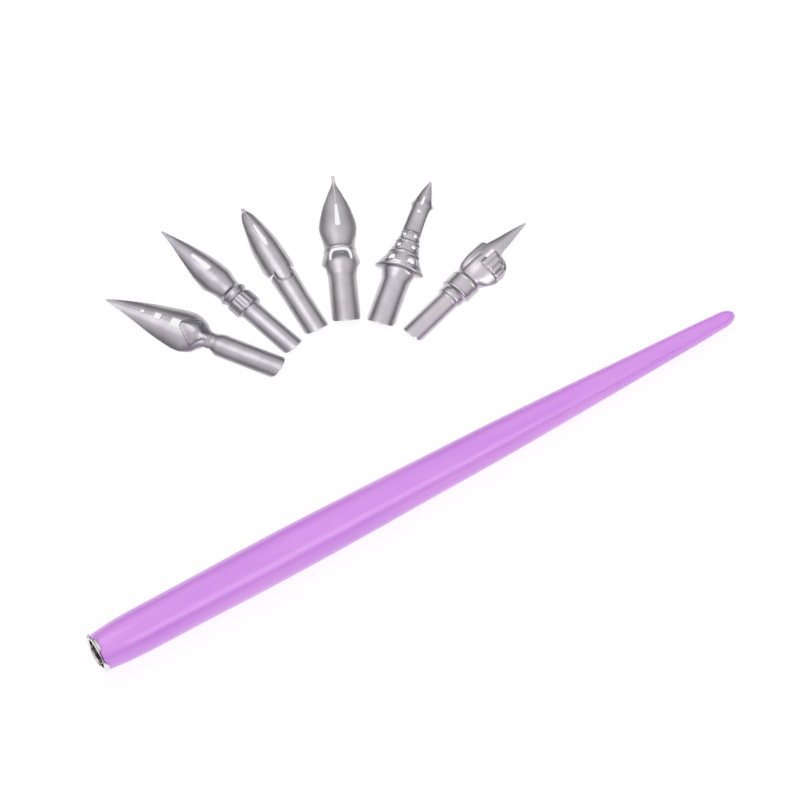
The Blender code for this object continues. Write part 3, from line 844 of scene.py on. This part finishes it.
def form(nib, bm):
    """Press the flat sheet to shape, and turn millimetres into metres. Returns the polished-edge mask and the
    painted shade mask for hollows.
    """
    relief = nib["relief"]
    edge = 1 - ramp(rim_distance(bm), 0.0, EDGE_POLISH)
    x, across, through = np.array([vert.co for vert in bm.verts]).T
    height = relief(x, across)
    # Painted shade mask: how far the sheet lies below its surroundings, used to darken hollows in the colour.
    around = (relief(x + HOLLOW_SHADE_REACH, across) + relief(x - HOLLOW_SHADE_REACH, across)
              + relief(x, across + HOLLOW_SHADE_REACH) + relief(x, across - HOLLOW_SHADE_REACH)) / 4
    hollow_shade = np.clip((around - height) / HOLLOW_SHADE_DEPTH, 0.0, 1.0)
    bead_x, bead_half, bead_swell = nib.get("bead", (0.0, 1.0, 0.0))
    swell = 1 + bead_swell / (NIB_SHEET / 2) * dome(x - bead_x, bead_half)
    radius = track(nib["radius"], x)
    crown = track(nib["crown"], x)
    out = radius + height + through * swell
    turn = across / radius
    shaped = np.stack([x, out * np.sin(turn), crown - radius + out * np.cos(turn)], axis=1) * MM
    shaped[:, 2] -= shaped[:, 2].min()
    for vert, spot in zip(bm.verts, shaped):
        vert.co = spot
    return edge, hollow_shade


def build_nib(name, nib, material):
    mesh = blank_mesh(f"{name}_pressed", [blank_outline(nib)] + nib.get("holes", []))
    bm = bmesh.new()
    bm.from_mesh(mesh)
    bmesh.ops.remove_doubles(bm, verts=bm.verts, dist=MERGE)
    length = max(vert.co.x for vert in bm.verts)
    half = max(abs(vert.co.y) for vert in bm.verts)
    x_lines = np.arange(GRID / 2, length, GRID)
    for low, high in nib.get("fine", []):
        coarse = x_lines[(x_lines < low) | (x_lines > high)]
        x_lines = np.concatenate((coarse, np.arange(low, high, FINE_GRID)))
    x_lines = np.sort(x_lines)
    y_lines = np.arange(-half + half % GRID_ACROSS, half, GRID_ACROSS)
    cut_lines(bm, list(bm.faces), 0, x_lines)
    cut_lines(bm, list(bm.faces), 1, y_lines)
    drop_diagonals(bm, x_lines, y_lines)
    edge, hollow_shade = form(nib, bm)
    bmesh.ops.recalc_face_normals(bm, faces=bm.faces)
    bm.to_mesh(mesh)
    bm.free()
    for key, values in (("edge", edge), ("hollow_shade", hollow_shade)):
        layer = mesh.attributes.new(key, "FLOAT", "POINT")
        layer.data.foreach_set("value", values)
    smooth(mesh, 60)
    piece = add_piece(mesh.name, mesh, material)
    weighted = piece.modifiers.new("weighted", "WEIGHTED_NORMAL")
    weighted.keep_sharp = True
    x, y, heading = nib["rest"]
    place = Matrix.Translation(Vector((MOUTH_X + x, MOUTH_Y + y, 0)) * MM)
    piece.matrix_world = place @ Matrix.Rotation(radians(heading), 4, "Z")
    settle(piece, name, f"{name}_steel", name)


def build_nibs():
    finishes = {
        "spear_nib": ((0.57, 0.55, 0.58), (0.49, 0.47, 0.51), 0.33),
        "fluted_collar_nib": ((0.59, 0.58, 0.62), (0.51, 0.50, 0.54), 0.31),
        "tubular_nib": ((0.62, 0.61, 0.63), (0.55, 0.53, 0.56), 0.31),
        "spade_nib": ((0.64, 0.62, 0.63), (0.57, 0.55, 0.56), 0.36),
        "tower_nib": ((0.67, 0.66, 0.69), (0.59, 0.58, 0.61), 0.29),
        "hand_nib": ((0.70, 0.67, 0.70), (0.62, 0.60, 0.63), 0.30),
    }
    for maker in (spear_nib, fluted_collar_nib, tubular_nib, spade_nib, tower_nib, hand_nib):
        name = maker.__name__
        build_nib(name, maker(), steel_material(f"{name}_steel", *finishes[name]))


# ---------------------------------------------------------------- studio


def build_floor():
    """Wide pale sheet that the set lies on."""
    bpy.ops.mesh.primitive_plane_add(size=6.0, location=(0, 0, -FLOOR_GAP * MM))
    floor = bpy.context.object
    floor.name = "floor"
    g = Graph("pale_floor")
    g.fixed(Base_Color=(0.20, 0.20, 0.20, 1.0), Roughness=0.9, Emission_Color=(1.0, 1.0, 1.0, 1.0),
            Emission_Strength=FLOOR_GLOW)
    floor.data.materials.append(g.material)


def area_light(name, place, size, radiance):
    """Square soft light that looks at the set, as bright to look at as radiance says."""
    light = bpy.data.lights.new(name, "AREA")
    light.shape = "SQUARE"
    light.size = size
    light.energy = radiance * pi * size * size
    thing = bpy.data.objects.new(name, light)
    bpy.context.scene.collection.objects.link(thing)
    thing.location = place
    thing.rotation_euler = Vector(place).to_track_quat("Z", "Y").to_euler()


def build_sky():
    """Soft surround: dark low down, brighter overhead."""
    world = bpy.data.worlds.new("studio")
    bpy.context.scene.world = world
    world.use_nodes = True
    tree = world.node_tree
    back = tree.nodes["Background"]
    source = tree.nodes.new("ShaderNodeTexCoord")
    split = tree.nodes.new("ShaderNodeSeparateXYZ")
    shade = tree.nodes.new("ShaderNodeValToRGB")
    tree.links.new(source.outputs["Generated"], split.inputs["Vector"])
    tree.links.new(split.outputs["Z"], shade.inputs["Fac"])
    tree.links.new(shade.outputs["Color"], back.inputs["Color"])
    stops = shade.color_ramp.elements
    stops[0].position, stops[1].position = SKY[0][0], SKY[-1][0]
    for place, _ in SKY[1:-1]:
        stops.new(place)
    for stop, (_, value) in zip(stops, SKY):
        stop.color = (value, 0.97 * value, value, 1)


def build_camera():
    camera = bpy.data.cameras.new("camera")
    camera.lens = LENS
    camera.sensor_width = 36.0
    camera.clip_start = 0.01
    camera.clip_end = 20.0
    thing = bpy.data.objects.new("camera", camera)
    bpy.context.scene.collection.objects.link(thing)
    back = Vector((sin(VIEW_AZIMUTH) * cos(VIEW_ELEVATION), -cos(VIEW_AZIMUTH) * cos(VIEW_ELEVATION),
                   sin(VIEW_ELEVATION)))
    thing.location = AIM + back * VIEW_DISTANCE
    thing.rotation_euler = (-back).to_track_quat("-Z", "Y").to_euler()
    bpy.context.scene.camera = thing


def build_studio():
    bpy.context.scene.view_settings.view_transform = "Standard"
    build_floor()
    build_sky()
    for name, place, size, radiance in LIGHTS:
        area_light(name, place, size, radiance)
    build_camera()


build_studio()
build_holder()
build_nibs()
